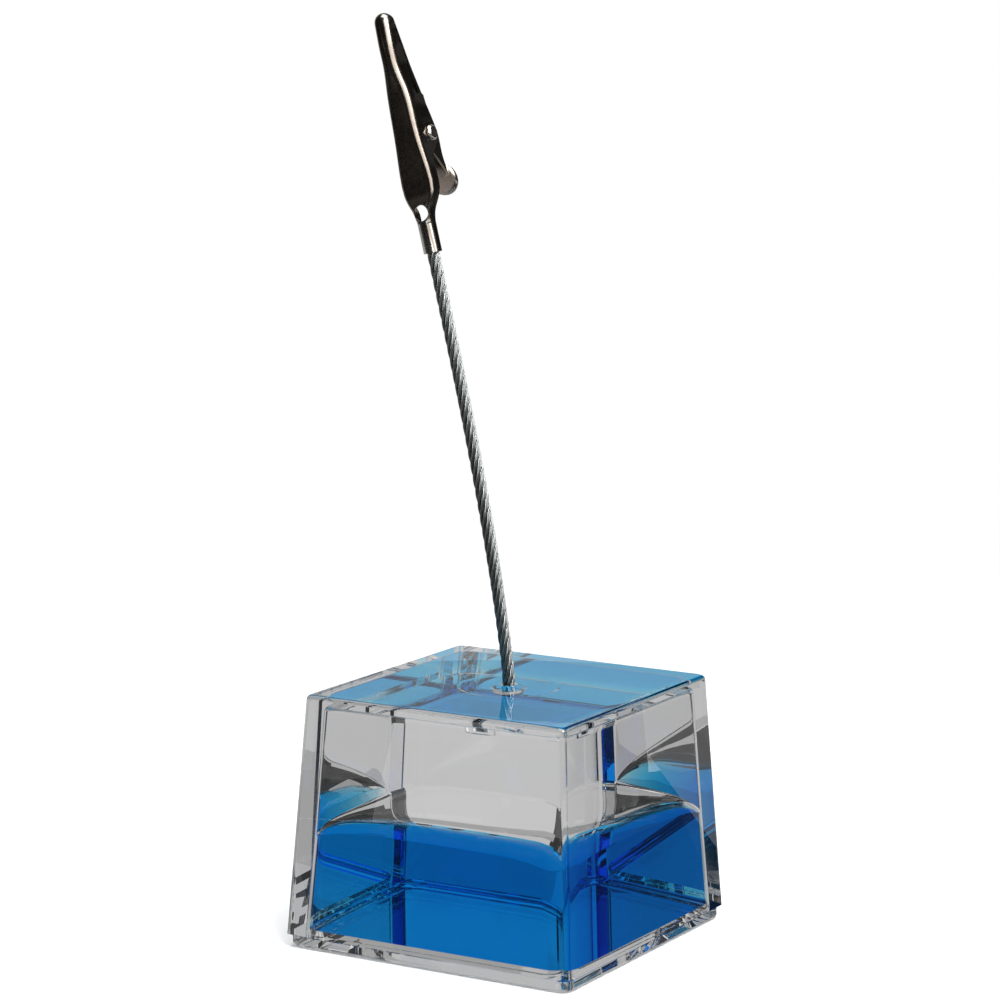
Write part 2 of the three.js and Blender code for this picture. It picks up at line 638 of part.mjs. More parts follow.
// A round pan whose rim turns up on the side that the thumb presses
function thumbPad() {
  const floor = SHEET + 2 * THUMB_SEAT;
  const profile = [[0, 0]];
  for (let step = 0; step <= EDGE_STEPS; step++) {
    const angle = degToRad((90 * step) / EDGE_STEPS);
    const radius = THUMB_RADIUS - THUMB_RIM * (1 - Math.sin(angle));
    profile.push([radius, THUMB_RIM_HEIGHT * (1 - Math.cos(angle))]);
  }
  profile.push([THUMB_RADIUS - SHEET, THUMB_RIM_HEIGHT]);
  profile.push([THUMB_RADIUS - THUMB_RIM, floor]);
  profile.push([0, floor]);
  const pan = toSolid(turned(profile));
  const notch = new THREE.BoxGeometry(2 * LEVER_HALF, 2 * THUMB_RADIUS, 2 * THUMB_RIM_HEIGHT);
  const armWay = toSolid(notch.translate(0, THUMB_RADIUS, floor + THUMB_RIM_HEIGHT));
  const pad = toGeometry(pan.subtract(armWay));
  pad.translate(0, 0, -SHEET - THUMB_SEAT);
  const tilt = degToRad(THUMB_TILT);
  const alongLever = new THREE.Vector3(0, -Math.sin(tilt), Math.cos(tilt));
  const outwards = new THREE.Vector3(0, Math.cos(tilt), Math.sin(tilt));
  const across = new THREE.Vector3().crossVectors(alongLever, outwards);
  pad.applyMatrix4(new THREE.Matrix4().makeBasis(across, alongLever, outwards));
  return toSolid(pad.translate(0, THUMB_BACK, THUMB_HEIGHT));
}

function leverJaw() {
  const channel = bentChannel(LEVER_STATIONS, -1, MOUTH_TIP_OFFSET + MOUTH_GAP);
  const jaw = channel.intersect(leverSide()).add(thumbPad()).subtract(rivetHole());
  return piece("lever_jaw", toGeometry(jaw), BLACK_NICKEL);
}

function pivotRivet() {
  const shank = RIVET_DIAMETER / 2;
  const head = RIVET_HEAD_DIAMETER / 2;
  const seat = BODY_WIDTH / 2 + RIVET_CLEARANCE;
  const end = seat + RIVET_HEAD_HEIGHT;
  const formedHead = [
    [head, seat],
    [0.95 * head, seat + RIVET_HEAD_HEIGHT / 2],
    [0.7 * head, end],
    [0.4 * head, end - RIVET_DIMPLE / 2],
    [0, end - RIVET_DIMPLE],
  ];
  const mirrored = formedHead.map(([radius, along]) => [radius, -along]).reverse();
  const rivet = turned([...mirrored, [shank, -seat], [shank, seat], ...formedHead]).rotateY(Math.PI / 2);
  const mesh = piece("pivot_rivet", rivet, RIVET_METAL);
  mesh.position.set(0, PIVOT_OFFSET, PIVOT_HEIGHT);
  return mesh;
}

// Torsion spring: one leg lies on the back of the fixed jaw, the other on the back of the lever
function springPath() {
  const wire = SPRING_WIRE / 2;
  const fixedRest = -BODY_BACK_OFFSET + SHEET + SPRING_SEAT_GAP + wire - PIVOT_OFFSET;
  const leverRest = LEVER_PIVOT_DEPTH + ARM_RISE - SHEET - SPRING_SEAT_GAP - wire;
  const legs = [fixedRest, leverRest].map((offset) => new THREE.Vector2(-ARM_LENGTH, offset));
  const wraps = legs.map((leg) => Math.acos(SPRING_RADIUS / leg.length()));
  const start = legs[0].angle() + wraps[0] - 2 * Math.PI;
  const sweep = legs[1].angle() - wraps[1] - start + 2 * Math.PI * SPRING_TURNS;
  const span = (SPRING_PITCH * sweep) / (2 * Math.PI);
  const steps = Math.round((SPRING_RADIUS * sweep) / SPRING_STEP);
  const points = [new THREE.Vector3(-span / 2, legs[0].y, legs[0].x)];
  for (let step = 0; step <= steps; step++) {
    const share = step / steps;
    const angle = start + sweep * share;
    points.push(
      new THREE.Vector3(
        span * (share - 0.5),
        SPRING_RADIUS * Math.sin(angle),
        SPRING_RADIUS * Math.cos(angle),
      ),
    );
  }
  points.push(new THREE.Vector3(span / 2, legs[1].y, legs[1].x));
  return new THREE.CatmullRomCurve3(points);
}

// Least gap of the wire to itself, between points more than half a turn apart along it
function selfGap(path) {
  const points = path.getSpacedPoints(SPRING_SAMPLES);
  const apart = Math.ceil((Math.PI * SPRING_RADIUS * SPRING_SAMPLES) / path.getLength());
  let least = Infinity;
  for (let i = 0; i < points.length; i++) {
    for (let j = i + apart; j < points.length; j++) {
      least = Math.min(least, points[i].distanceTo(points[j]));
    }
  }
  return least - SPRING_WIRE;
}

function jawSpring() {
  const path = springPath();
  console.log(`jaw spring: least gap to itself ${selfGap(path).toFixed(2)} mm`);
  const section = new THREE.Shape();
  for (let i = 0; i < WIRE_SIDES; i++) {
    const angle = (2 * Math.PI * i) / WIRE_SIDES;
    const corner = [(SPRING_WIRE / 2) * Math.cos(angle), (SPRING_WIRE / 2) * Math.sin(angle)];
    if (i === 0) {
      section.moveTo(...corner);
    } else {
      section.lineTo(...corner);
    }
  }
  section.closePath();
  const steps = Math.round(path.getLength() / SPRING_STEP);
  const wire = new THREE.ExtrudeGeometry(section, { steps, extrudePath: path });
  const mesh = piece("jaw_spring", wire, SPRING_STEEL);
  mesh.position.set(0, PIVOT_OFFSET, PIVOT_HEIGHT);
  return mesh;
}

// The clip stands on the end of the stem and leans with it
function clip() {
  const group = new THREE.Group();
  const foot = ropeStations(0, STEM_LENGTH, ROPE_STEPS).at(-1);
  group.position.copy(foot.centre);
  group.rotation.y = -degToRad(STEM_TOP_LEAN);
  group.add(fixedJaw(), leverJaw(), pivotRivet(), jawSpring());
  return group;
}

const memoHolder = new THREE.Group();
memoHolder.add(bodyShell(), basePlate(), fillPlug(), blueLiquid(), clearOil());
memoHolder.add(...wireRope());
memoHolder.add(clip());

export default memoHolder;
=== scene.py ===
"""Looks of the desk memo holder: a clear block with two liquids, a wire-rope stem and an alligator clip."""

import math

import bmesh
import bpy
import numpy as np
from mathutils import Matrix, Vector


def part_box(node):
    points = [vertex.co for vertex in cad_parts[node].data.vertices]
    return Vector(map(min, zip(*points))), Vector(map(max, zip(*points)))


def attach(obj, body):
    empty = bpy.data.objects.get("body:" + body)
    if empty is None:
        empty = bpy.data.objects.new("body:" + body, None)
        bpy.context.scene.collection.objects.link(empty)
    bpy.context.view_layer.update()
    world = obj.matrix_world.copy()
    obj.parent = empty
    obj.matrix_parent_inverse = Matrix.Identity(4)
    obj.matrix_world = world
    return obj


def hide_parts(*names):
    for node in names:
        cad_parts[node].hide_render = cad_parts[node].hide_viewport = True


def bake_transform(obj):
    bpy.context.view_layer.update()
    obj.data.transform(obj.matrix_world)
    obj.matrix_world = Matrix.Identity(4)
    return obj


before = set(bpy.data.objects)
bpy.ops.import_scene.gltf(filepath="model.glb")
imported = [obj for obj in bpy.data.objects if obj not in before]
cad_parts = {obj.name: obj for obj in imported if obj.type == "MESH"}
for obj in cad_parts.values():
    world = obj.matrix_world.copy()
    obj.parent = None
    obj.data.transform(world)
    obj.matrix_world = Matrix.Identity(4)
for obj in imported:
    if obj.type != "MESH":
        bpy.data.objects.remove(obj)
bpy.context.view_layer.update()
scene = bpy.context.scene
MM = 0.001

# Photograph's camera, fitted to the block's edges
CAMERA_AZIMUTH = math.radians(30.523)
CAMERA_ELEVATION = math.radians(9.129)
CAMERA_ROLL = math.radians(0.179)
CAMERA_DISTANCE = 600.75 * MM
CAMERA_AIM_RIGHT = -1.575 * MM
CAMERA_AIM_UP = 74.9 * MM
FOCAL_PIXELS = 3561.5
IMAGE_PIXELS = 1000
SENSOR = 36.0

# Block, as in the solids
WALL = 2.4 * MM
TOP_WALL = 2.2 * MM
EDGE_RADIUS = 1.0 * MM
CAVITY_RADIUS = 3.0 * MM
CEILING_RADIUS = 1.0 * MM
SOCKET_RADIUS = 1.3 * MM
SOCKET_DEPTH = 5.6 * MM
BOSS_RADIUS = 2.8 * MM
BOSS_DROP = 5.0 * MM
PAD_RADIUS = 8.6 * MM
PAD_DROP = 0.5 * MM
SMALL_EDGE = 0.25 * MM
FLANGE_HEIGHT = 2.0 * MM
FLANGE_RADIUS = 2.0 * MM
STEP_GAP = 0.15 * MM

# Share of a height or radius past which a solid's points belong to its outer part
OUTER_SHARE = 0.9

# Water's surface dips at the walls. A film keeps each liquid's faces off the plastic and off each other.
DIP = 2.4 * MM
DIP_REACH = 4.0 * MM
FILM = 0.02 * MM
LEAST_CORNER = 0.05 * MM

# Refraction: each surface carries the index of the side it belongs to over that of the other side
PLASTIC = 1.58
OIL = 1.42
WATER = 1.345
DYE = (0.0, 0.785, 0.975)
DYE_DENSITY = 130.0

# Rope: six strands of six wires, laid against the strands
STRANDS = 6
WIRES = 6
STRAND_LAY = 13.5 * MM
WIRE_LAY = 7.0 * MM
ROPE_RADIUS = 1.1 * MM
ROPE_STEP = 0.45 * MM
WIRE_SIDES = 6

# Clip: rounds on the edges of its sheet metal, and the patch of the lever that thumbs rub, made paler partly
# as wear from thumbs and partly as a painted reflection of pale surroundings
WELD = 0.001 * MM
CLIP_EDGE = 0.06 * MM
CLIP_EDGE_STEPS = 2
CLIP_NODES = ("fixed_jaw", "lever_jaw", "pivot_rivet")
THUMB_RADIUS = 2.9 * MM
THUMB_WEAR_AND_SHEEN_TONE = (0.54, 0.46, 0.4)
THUMB_ROUGHNESS = 0.5

# Angles in degrees over which an edge stays sharp
BLOCK_SHARP = 40
LIQUID_SHARP = 60
ROPE_SHARP = 80
CLIP_SHARP = 40
SPRING_SHARP = 60

# Plating: fine patches vary its tone and polish between these shares, and it wears where edges stand out
PATCH_DETAIL = 4.0
TONE_STOPS = (0.3, 0.75)
TONE_SHARES = (0.88, 1.1)
POLISH_SHARES = (0.75, 1.25)
WORN_POINTINESS = (0.52, 0.62)
# Shares of the thumb patch's radius over which its paler tone fades out; that tone is partly wear and partly
# a painted reflection
WEAR_AND_SHEEN_SHARES = (1.1, 0.8)

# Fineness of the block's rings
CORNER_STEPS = 10
SIDE_STEPS = 24
SIDE_SHARES = tuple(0.5 - 0.5 * math.cos(math.pi * i / SIDE_STEPS) for i in range(1, SIDE_STEPS))
EDGE_STEPS = 6
SURFACE_SHARES = (0, 0.015, 0.03, 0.05, 0.08, 0.12, 0.17, 0.24, 0.33, 0.45, 0.6, 0.8)


def points_of(node):
    """A node's vertices in the frame, each place once."""
    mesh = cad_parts[node].data
    co = np.empty(3 * len(mesh.vertices))
    mesh.vertices.foreach_get("co", co)
    return np.unique(np.round(co.reshape(-1, 3), 7), axis=0)


# Block's heights and half sides, read from the solids
shell_points = points_of("body_shell")
FOOT_Z = shell_points[:, 2].min()
TOP_Z = shell_points[:, 2].max()
FOOT_HALF = shell_points[:, 0].max()
upper_points = shell_points[shell_points[:, 2] > OUTER_SHARE * TOP_Z]
EDGE_HALF, _, EDGE_Z = upper_points[upper_points[:, 0].argmax()]
TOP_EDGE = TOP_Z - EDGE_Z
DRAFT = (FOOT_HALF - EDGE_HALF) / (EDGE_Z - FOOT_Z)
_, PLATE_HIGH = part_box("base_plate")
FLOOR_Z = PLATE_HIGH.z
CEILING_Z = TOP_Z - TOP_WALL
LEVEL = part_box("blue_liquid")[1].z


# Meshes

def half_side(z):
    return FOOT_HALF - DRAFT * (z - FOOT_Z)


def square_ring(half, radius, z):
    """Points round a square with rounded corners, counter-clockwise from above. z may be a function."""
    ring = []
    for corner in range(4):
        middle = math.radians(45 + 90 * corner)
        centre = np.array([np.sign(math.cos(middle)), np.sign(math.sin(middle))]) * (half - radius)
        for step in range(CORNER_STEPS + 1):
            angle = math.radians(90 * (corner + step / CORNER_STEPS))
            ring.append(centre + radius * np.array([math.cos(angle), math.sin(angle)]))
        x, y = ring[-1]
        run = np.array([-2 * x, 0.0] if corner % 2 == 0 else [0.0, -2 * y])
        ring += [np.array([x, y]) + share * run for share in SIDE_SHARES]
    heights = [z(x, y) if callable(z) else z for x, y in ring]
    return np.column_stack([np.array(ring), heights])


def round_ring(radius, z):
    """Points round a circle, each opposite the same point of a square ring."""
    count = CORNER_STEPS + 1 + len(SIDE_SHARES)
    place = np.arange(4 * count)
    angle = np.radians(45 + 90 * ((place % count - CORNER_STEPS / 2) / count + place // count))
    return np.column_stack([radius * np.cos(angle), radius * np.sin(angle), np.full(4 * count, z)])


def water_level(x, y):
    wall = half_side(LEVEL) - WALL
    gaps = (wall - x, wall + x, wall - y, wall + y)
    return LEVEL - DIP * sum(math.exp(-max(gap, 0) / DIP_REACH) for gap in gaps)


class Skin:
    """Rings of points joined by faces, each band of faces with its own material slot."""

    def __init__(self):
        self.points, self.faces, self.slots = [], [], []

    def bands(self, rings, slots, inward=False):
        """slots is one slot for all bands, or one for each. Returns the first and last ring's numbers."""
        first = sum(len(ring) for ring in self.points)
        count = len(rings[0])
        end = first + len(rings) * count
        self.points += [np.asarray(ring) for ring in rings]
        for band in range(len(rings) - 1):
            for i in range(count):
                a = first + band * count + i
                b = first + band * count + (i + 1) % count
                face = (a, b, b + count, a + count)
                self.faces.append(face[::-1] if inward else face)
                self.slots.append(slots if isinstance(slots, int) else slots[band])
        return range(first, first + count), range(end - count, end)

    def cap(self, ring, slot, downward=False):
        self.faces.append(tuple(reversed(ring)) if downward else tuple(ring))
        self.slots.append(slot)

    def bridge(self, outer, inner, slot):
        """Faces between two rings of the same count, seen from below."""
        count = len(outer)
        for i in range(count):
            j = (i + 1) % count
            self.faces.append((outer[j], outer[i], inner[i], inner[j]))
            self.slots.append(slot)

    def build(self, name, materials, sharp):
        mesh = bpy.data.meshes.new(name)
        mesh.from_pydata(np.concatenate(self.points).tolist(), [], self.faces)
        for material in materials:
            mesh.materials.append(material)
        mesh.polygons.foreach_set("material_index", self.slots)
        piece = bpy.data.objects.new(name, mesh)
        scene.collection.objects.link(piece)
        smooth(piece, sharp)
        return piece


def smooth(piece, sharp):
    """Smooth shading that keeps flat faces flat, and edges over the angle sharp."""
    mesh = piece.data
    mesh.polygons.foreach_set("use_smooth", [True] * len(mesh.polygons))
    mesh.set_sharp_from_angle(angle=math.radians(sharp))
    weighted = piece.modifiers.new("weighted", "WEIGHTED_NORMAL")
    weighted.keep_sharp = True


# Materials

def new_material(name):
    material = bpy.data.materials.new(name)
    material.use_nodes = True
    nodes = material.node_tree.nodes
    return material, nodes, material.node_tree.links, nodes["Principled BSDF"]


def clear(name, index, tint=(1, 1, 1)):
    """A polished clear surface."""
    material, _, _, shader = new_material(name)
    shader.inputs["Base Color"].default_value = (*tint, 1)
    shader.inputs["Roughness"].default_value = 0.0
    shader.inputs["IOR"].default_value = index
    shader.inputs["Transmission Weight"].default_value = 1.0
    return material


def dyed_water():
    material = clear("dyed_water", 1.0)
    nodes = material.node_tree.nodes
    dye = nodes.new("ShaderNodeVolumeAbsorption")
    dye.inputs["Color"].default_value = (*DYE, 1)
    dye.inputs["Density"].default_value = DYE_DENSITY
    material.node_tree.links.new(dye.outputs["Volume"], nodes["Material Output"].inputs["Volume"])
    return material


def paint_wear_and_sheen(nodes, links, colour, roughness, shader, spot):
    """Wears the plating round a spot (centre, radius, tone and roughness) to a duller tone, and to a paler
    tone that is partly wear and partly a painted reflection.
    """
    centre, radius, tone, dull = spot
    coordinates = nodes.new("ShaderNodeTexCoord")
    distance = nodes.new("ShaderNodeVectorMath")
    distance.operation = "DISTANCE"
    distance.inputs[1].default_value = centre
    links.new(coordinates.outputs["Object"], distance.inputs[0])
    share = nodes.new("ShaderNodeMapRange")
    share.interpolation_type = "SMOOTHSTEP"
    share.inputs["From Min"].default_value = WEAR_AND_SHEEN_SHARES[0] * radius
    share.inputs["From Max"].default_value = WEAR_AND_SHEEN_SHARES[1] * radius
    links.new(distance.outputs["Value"], share.inputs["Value"])
    paler = nodes.new("ShaderNodeMix")
    paler.data_type = "RGBA"
    paler.inputs["B"].default_value = (*tone, 1)
    duller = nodes.new("ShaderNodeMix")
    duller.inputs["B"].default_value = dull
    for mix, source, socket in ((paler, colour, "Base Color"), (duller, roughness, "Roughness")):
        links.new(share.outputs["Result"], mix.inputs["Factor"])
        links.new(source, mix.inputs["A"])
        links.new(mix.outputs["Result"], shader.inputs[socket])


def metal(name, colour, worn, roughness, patches=900.0, wear=0.5, spot=None):
    """Plated or drawn metal with fine patches of tone and polish, worn on its edges, and worn at a spot
    whose paler tone is partly a painted reflection.
    """
    material, nodes, links, shader = new_material(name)
    shader.inputs["Metallic"].default_value = 1.0
    coordinates = nodes.new("ShaderNodeTexCoord")
    noise = nodes.new("ShaderNodeTexNoise")
    noise.inputs["Scale"].default_value = patches
    noise.inputs["Detail"].default_value = PATCH_DETAIL
    links.new(coordinates.outputs["Object"], noise.inputs["Vector"])
    tone = nodes.new("ShaderNodeValToRGB")
    for stop, position, share in zip(tone.color_ramp.elements, TONE_STOPS, TONE_SHARES):
        stop.position = position
        stop.color = (*(share * c for c in colour), 1)
    links.new(noise.outputs["Fac"], tone.inputs["Fac"])
    geometry = nodes.new("ShaderNodeNewGeometry")
    edges = nodes.new("ShaderNodeMapRange")
    edges.inputs["From Min"].default_value = WORN_POINTINESS[0]
    edges.inputs["From Max"].default_value = WORN_POINTINESS[1]
    edges.inputs["To Max"].default_value = wear
    links.new(geometry.outputs["Pointiness"], edges.inputs["Value"])
    mix = nodes.new("ShaderNodeMix")
    mix.data_type = "RGBA"
    mix.inputs["B"].default_value = (*worn, 1)
    links.new(edges.outputs["Result"], mix.inputs["Factor"])
    links.new(tone.outputs["Color"], mix.inputs["A"])
    links.new(mix.outputs["Result"], shader.inputs["Base Color"])
    polish = nodes.new("ShaderNodeMapRange")
    polish.inputs["To Min"].default_value = POLISH_SHARES[0] * roughness
    polish.inputs["To Max"].default_value = POLISH_SHARES[1] * roughness
    links.new(noise.outputs["Fac"], polish.inputs["Value"])
    links.new(polish.outputs["Result"], shader.inputs["Roughness"])
    if spot:
        paint_wear_and_sheen(nodes, links, mix.outputs["Result"], polish.outputs["Result"], shader, spot)
    return material


def thumb_wear_and_sheen_spot():
    """The thumb pad's patch on the lever, its lowest part: worn by thumbs, and painted paler as a reflection
    of pale surroundings.
    """
    points = points_of("lever_jaw")
    centre = points[points[:, 2].argmin()] + (0, 0, THUMB_RADIUS)
    return tuple(centre), THUMB_RADIUS, THUMB_WEAR_AND_SHEEN_TONE, THUMB_ROUGHNESS


plastic_air = clear("plastic_outside", PLASTIC)
plastic_oil = clear("plastic_to_oil", PLASTIC / OIL)
plastic_water = clear("plastic_to_water", PLASTIC / WATER)
oil_water = clear("oil_to_water", OIL / WATER)
oil_wall = clear("oil_at_wall", 1.0)
water = dyed_water()
stopper = clear("stopper", 1.0, tint=(0.96, 0.97, 0.98))
black_nickel = metal("black_nickel", (0.15, 0.128, 0.108), (0.56, 0.54, 0.51), 0.2, wear=0.8)
lever_nickel = metal("lever_nickel", (0.17, 0.145, 0.124), (0.34, 0.3, 0.26), 0.2, spot=thumb_wear_and_sheen_spot())
rivet_metal = metal("rivet_nickel", (0.42, 0.38, 0.33), (0.6, 0.56, 0.5), 0.25)
spring_steel = metal("spring_wire", (0.4, 0.4, 0.4), (0.55, 0.55, 0.55), 0.3)
galvanised = metal("galvanised_wire", (0.147, 0.154, 0.152), (0.24, 0.25, 0.25), 0.3, patches=1500.0)


# Block

def edge_rings(half_at, top, radius, corner):
    """Rings round the top of a drafted block, over its rounded edge."""
    rings = []
    for step in range(EDGE_STEPS + 1):
        angle = math.radians(90 * step / EDGE_STEPS)
        z = top - radius + radius * math.sin(angle)
        rings.append(square_ring(half_at(z) - radius * (1 - math.cos(angle)), corner, z))
    return rings


def make_shell():
    """The cover: its outside with the stem's socket, and its cavity with the pad and boss under the top."""
    skin = Skin()
    outside = [square_ring(FOOT_HALF, EDGE_RADIUS, FOOT_Z)]
    outside += edge_rings(half_side, TOP_Z, TOP_EDGE, EDGE_RADIUS)
    outside += [round_ring(radius, z) for radius, z in (
        (2 * SOCKET_RADIUS, TOP_Z),
        (SOCKET_RADIUS + SMALL_EDGE, TOP_Z),
        (SOCKET_RADIUS, TOP_Z - SMALL_EDGE),
        (SOCKET_RADIUS, TOP_Z - SOCKET_DEPTH),
    )]
    rim, socket = skin.bands(outside, 0)
    skin.cap(socket, 0)

    def cavity_half(z):
        return half_side(z) - WALL

    inside = [square_ring(cavity_half(FOOT_Z), CAVITY_RADIUS, FOOT_Z)]
    inside += [square_ring(cavity_half(FLOOR_Z), CAVITY_RADIUS, FLOOR_Z)]
    inside += [square_ring(cavity_half(LEVEL - DIP), CAVITY_RADIUS, water_level)]
    slots = [1] * (len(inside) - 1)
    inside += edge_rings(cavity_half, CEILING_Z, CEILING_RADIUS, CAVITY_RADIUS)
    pad_z = CEILING_Z - PAD_DROP
    boss_z = CEILING_Z - BOSS_DROP
    inside += [round_ring(radius, z) for radius, z in (
        (PAD_RADIUS + SMALL_EDGE, CEILING_Z),
        (PAD_RADIUS, CEILING_Z - SMALL_EDGE),
        (PAD_RADIUS - SMALL_EDGE, pad_z),
        (BOSS_RADIUS + 2 * SMALL_EDGE, pad_z),
        (BOSS_RADIUS, pad_z - 2 * SMALL_EDGE),
        (BOSS_RADIUS, boss_z + 2 * SMALL_EDGE),
        (BOSS_RADIUS - SMALL_EDGE, boss_z + SMALL_EDGE / 2),
        (BOSS_RADIUS - 2 * SMALL_EDGE, boss_z),
    )]
    slots += [2] * (len(inside) - 1 - len(slots))
    inner_rim, boss = skin.bands(inside, slots, inward=True)
    skin.cap(boss, 2, downward=True)
    skin.bridge(rim, inner_rim, 0)
    return skin.build("shell", [plastic_air, plastic_water, plastic_oil], BLOCK_SHARP)


def make_plate():
    """Flange with rounded edges below, and the step that closes the cavity."""
    skin = Skin()
    half = PLATE_HIGH.x
    top = FLANGE_HEIGHT
    step_half = half_side(FLOOR_Z) - WALL - STEP_GAP
    rings = [square_ring(*place) for place in (
        (half - 2 * SMALL_EDGE, FLANGE_RADIUS, 0.0),
        (half - SMALL_EDGE / 2, FLANGE_RADIUS, SMALL_EDGE / 2),
        (half, FLANGE_RADIUS, 2 * SMALL_EDGE),
        (half, FLANGE_RADIUS, top - SMALL_EDGE),
        (half - SMALL_EDGE, FLANGE_RADIUS, top),
        (step_half, CAVITY_RADIUS, top),
        (step_half, CAVITY_RADIUS, FLOOR_Z),
    )]
    low, high = skin.bands(rings, 0)
    skin.cap(low, 0, downward=True)
    skin.cap(high, 1)
    return skin.build("plate", [plastic_air, plastic_water], BLOCK_SHARP)


def surface_rings(inset, lift):
    """Rings of the water's surface from the walls to the middle."""
    reach = half_side(LEVEL) - WALL - inset
    rings = []
    for share in SURFACE_SHARES:
        drawn_in = share * reach
        corner = max(CAVITY_RADIUS - inset - drawn_in, LEAST_CORNER)
        rings.append(square_ring(reach - drawn_in, corner, lambda x, y: water_level(x, y) + lift))
    return rings


def make_water():
    """The dyed water, from the plate up to its surface."""
    skin = Skin()
    wall = WALL + FILM
    rings = [square_ring(half_side(FLOOR_Z) - wall, CAVITY_RADIUS - FILM, FLOOR_Z + FILM)]
    rings += surface_rings(FILM, -FILM)
    low, high = skin.bands(rings, 0)
    skin.cap(low, 0, downward=True)
    skin.cap(high, 0)
    return skin.build("water", [water], LIQUID_SHARP)


def make_oil():
    """The oil: its underside is the surface between the liquids, and its other faces lie on the plastic."""
    skin = Skin()

    def oil_half(z):
        return half_side(z) - WALL - FILM

    under = surface_rings(FILM, FILM)
    rim, middle = skin.bands(under, 1, inward=True)
    skin.cap(middle, 1, downward=True)
    pad_z = CEILING_Z - PAD_DROP - FILM
    boss_z = CEILING_Z - BOSS_DROP - FILM
    sides = [under[0]] + edge_rings(oil_half, CEILING_Z - FILM, CEILING_RADIUS, CAVITY_RADIUS - FILM)
    sides += [round_ring(radius, z) for radius, z in (
        (PAD_RADIUS + SMALL_EDGE, CEILING_Z - FILM),
        (PAD_RADIUS, pad_z),
        (BOSS_RADIUS + 2 * SMALL_EDGE, pad_z),
        (BOSS_RADIUS + FILM, pad_z - 2 * SMALL_EDGE),
        (BOSS_RADIUS + FILM, boss_z),
    )]
    _, boss = skin.bands(sides, 0)
    skin.cap(boss, 0)
    return skin.build("oil", [oil_wall, oil_water], LIQUID_SHARP)


def make_stopper():
    """The clear stopper, drawn in by a film from the plate that it fills."""
    low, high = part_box("fill_plug")
    points = points_of("fill_plug")
    stem_top = points[points[:, 2] > high.z - FILM]
    centre = np.array([(low.x + high.x) / 2, (low.y + high.y) / 2, 0.0])
    head = (high.x - low.x) / 2 - FILM
    stem = (stem_top[:, 0].max() - stem_top[:, 0].min()) / 2
    head_top = points[np.hypot(*(points - centre)[:, :2].T) > OUTER_SHARE * head][:, 2].max()
    places = ((head, FILM), (head, head_top), (stem, head_top), (stem, high.z - FILM))
    skin = Skin()
    first, last = skin.bands([round_ring(radius, z) + centre for radius, z in places], 0)
    skin.cap(first, 0, downward=True)
    skin.cap(last, 0)
    return skin.build("stopper", [stopper], BLOCK_SHARP)


for make_piece, node in (
    (make_shell, "body_shell"),
    (make_plate, "base_plate"),
    (make_water, "blue_liquid"),
    (make_oil, "clear_oil"),
    (make_stopper, "fill_plug"),
):
    piece = make_piece()
    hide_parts(node)
    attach(piece, "base")


# Rope

def core_line():
    """Middle of the rope's core from end to end, with heights that rise."""
    points = points_of("cable_core")
    points = points[points[:, 2].argsort()]
    breaks = np.flatnonzero(np.diff(points[:, 2]) > ROPE_STEP) + 1
    return np.array([ring.mean(axis=0) for ring in np.split(points, breaks)])


def rope_places():
    """Even places along the rope: distance from the block's top, centre, and two directions across it."""
    line = core_line()
    lengths = np.concatenate([[0], np.cumsum(np.linalg.norm(np.diff(line, axis=0), axis=1))])
    top_of_block = np.interp(TOP_Z, line[:, 2], lengths)
    along = np.arange(0, lengths[-1], ROPE_STEP)
    centre = np.column_stack([np.interp(along, lengths, line[:, i]) for i in range(3)])
    tangent = np.gradient(centre, axis=0)
    tangent /= np.linalg.norm(tangent, axis=1, keepdims=True)
    side = np.array([0.0, 1.0, 0.0])
    across = np.cross(side, tangent)
    across /= np.linalg.norm(across, axis=1, keepdims=True)
    return along - top_of_block, centre, across, np.broadcast_to(side, across.shape)


def tube(skin, path, radius):
    """A round wire along path."""
    tangent = np.gradient(path, axis=0)
    tangent /= np.linalg.norm(tangent, axis=1, keepdims=True)
    one = np.cross(tangent, np.array([0.0, 1.0, 0.0]))
    one /= np.linalg.norm(one, axis=1, keepdims=True)
    two = np.cross(tangent, one)
    angles = 2 * math.pi * np.arange(WIRE_SIDES) / WIRE_SIDES
    rings = []
    for place, a, b in zip(path, one, two):
        rings.append(place + radius * (np.outer(np.cos(angles), a) + np.outer(np.sin(angles), b)))
    first, last = skin.bands(rings, 0)
    skin.cap(first, 0, downward=True)
    skin.cap(last, 0)


def make_rope():
    """The core and its strands, each of wires, along the rope's line from the block's top to the clip's
    barrel.
    """
    skin = Skin()
    along, centre, across, side = rope_places()
    orbit = ROPE_RADIUS * 2 / 3
    strand = ROPE_RADIUS / 3
    wire = strand / 3
    tube(skin, centre, strand)
    for i in range(STRANDS):
        twist = (2 * math.pi * (along / STRAND_LAY + i / STRANDS))[:, None]
        outward = np.cos(twist) * across + np.sin(twist) * side
        sideways = -np.sin(twist) * across + np.cos(twist) * side
        for k in range(WIRES):
            turn = (2 * math.pi * (k / WIRES - along / WIRE_LAY))[:, None]
            offset = 2 * wire * (np.cos(turn) * outward + np.sin(turn) * sideways)
            tube(skin, centre + orbit * outward + offset, wire)
    rope = skin.build("rope", [galvanised], ROPE_SHARP)
    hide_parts("cable_core", *(f"cable_strand_{i + 1}" for i in range(STRANDS)))
    foot = centre[np.abs(along).argmin()]
    mouth_z = points_of("fixed_jaw")[:, 2].min()
    mouth = centre[np.abs(centre[:, 2] - mouth_z).argmin()]
    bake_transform(rope)
    return rope


rope = make_rope()


# Clip: the solids with their finishes, welded, with small rounds on their edges

